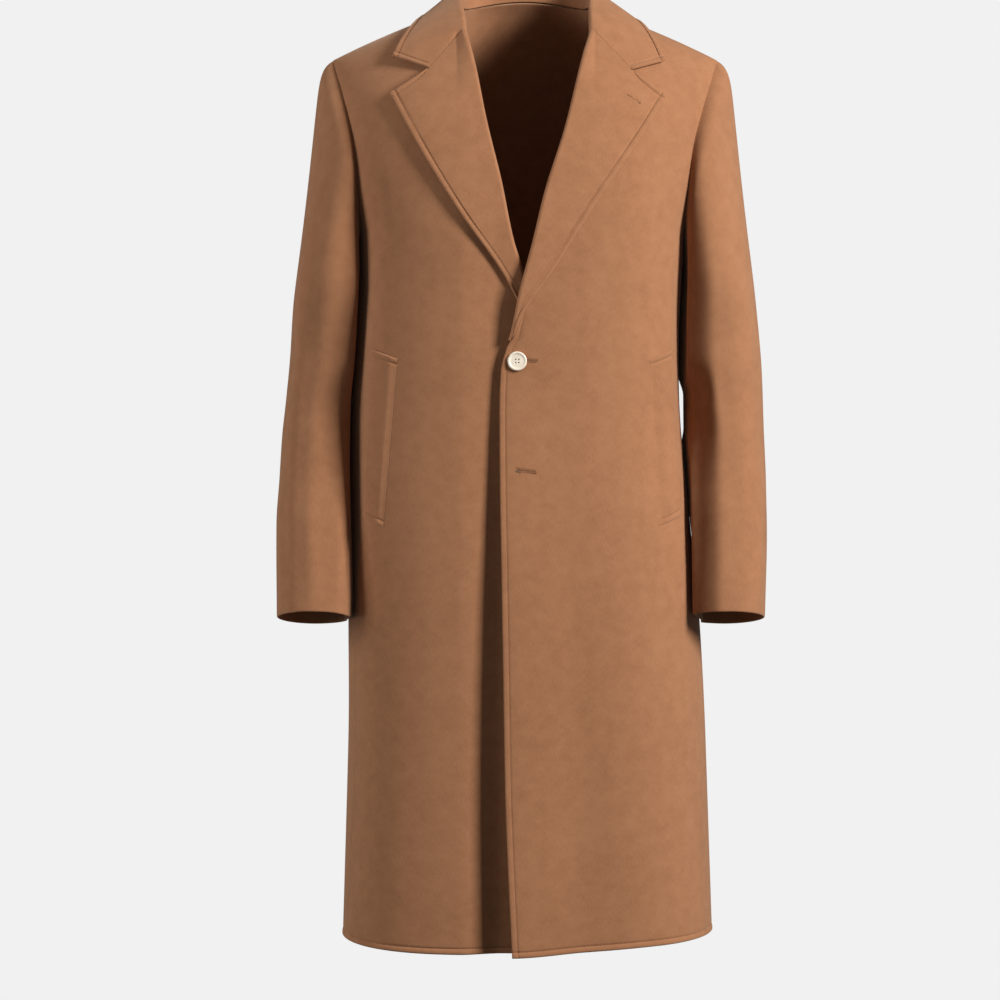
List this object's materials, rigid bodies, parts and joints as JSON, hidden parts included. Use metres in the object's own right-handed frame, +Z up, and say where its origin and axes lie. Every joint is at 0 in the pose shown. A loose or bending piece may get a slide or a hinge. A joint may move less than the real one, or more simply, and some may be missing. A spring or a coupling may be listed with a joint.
{
  "type": "wool overcoat",
  "caption": "Long single-breasted wool overcoat with notched lapels, slanted pocket welts and two-piece sleeves, holding its worn, hollow form.",
  "frame": {"origin": "midway between the neck ends of the two shoulder seams, where a hanger or a wearer's shoulders hold the coat", "axes": "+X towards the wearer's left, -Y out of the front, +Z up"},
  "size_m": [0.5746, 0.3095, 1.1436],
  "materials": {
    "body_cloth": "brushed wool",
    "sleeve_cloth": "brushed wool",
    "turned_cloth": "brushed wool",
    "welt_cloth": "brushed wool",
    "button": "ivory, polished rim"
  },
  "bodies": {
    "root": {"front_left": "body_cloth", "front_right": "body_cloth", "back": "body_cloth", "top_sleeve_left": "sleeve_cloth", "under_sleeve_left": "sleeve_cloth", "top_sleeve_right": "sleeve_cloth", "under_sleeve_right": "sleeve_cloth", "lapel_left": "turned_cloth", "lapel_right": "turned_cloth", "collar": "turned_cloth", "welt_left": "welt_cloth", "welt_right": "welt_cloth", "button_upper": "button", "button_lower": "button"}
  },
  "joints": []
}
